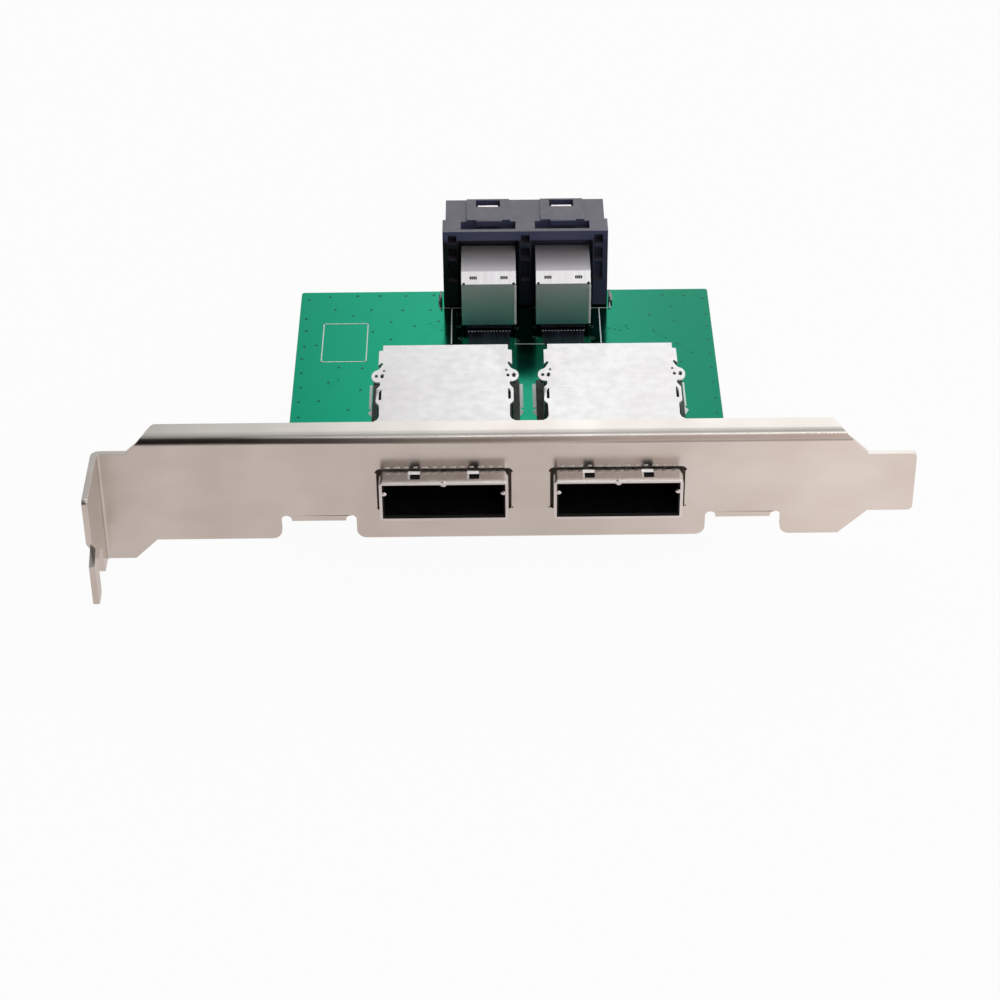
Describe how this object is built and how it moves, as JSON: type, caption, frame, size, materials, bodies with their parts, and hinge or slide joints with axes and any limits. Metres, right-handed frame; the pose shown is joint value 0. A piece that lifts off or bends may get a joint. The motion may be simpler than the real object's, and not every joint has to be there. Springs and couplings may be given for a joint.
{
  "type": "mini sas adapter card",
  "caption": "Passive adapter card on a full-height slot bracket: caged outer ports on a green board lead to a double inner connector.",
  "frame": {"origin": "on the bracket's outer face, midway between the two outer ports, level with the top of the board", "axes": "+X along the bracket towards its tongue, +Y from the bracket into the computer, +Z from the board's underside to its connector side"},
  "size_m": [0.1201, 0.0751, 0.0239],
  "materials": {
    "nickel_steel": "satin nickel plate",
    "tinned_steel": "bright tin plate",
    "shield_steel": "bright rolled sheet",
    "screw_steel": "zinc plate",
    "board_laminate": "glossy green solder mask",
    "black_plastic": "moulded",
    "grey_plastic": "moulded, fine satin"
  },
  "bodies": {
    "root": {"bracket": "nickel_steel", "circuit_board": "board_laminate", "board_screw_left": "screw_steel", "board_screw_right": "screw_steel", "left_port_shell": "tinned_steel", "right_port_shell": "tinned_steel", "left_port_cage": "tinned_steel", "right_port_cage": "tinned_steel", "left_port_insulator": "black_plastic", "right_port_insulator": "black_plastic", "left_port_tails": "tinned_steel", "right_port_tails": "tinned_steel", "inner_housing": "grey_plastic", "left_latch_plate": "tinned_steel", "right_latch_plate": "tinned_steel", "left_wafer_block": "black_plastic", "right_wafer_block": "black_plastic", "left_wafer_shield": "shield_steel", "right_wafer_shield": "shield_steel", "inner_hold_down_left": "tinned_steel", "inner_hold_down_right": "tinned_steel"}
  },
  "joints": []
}
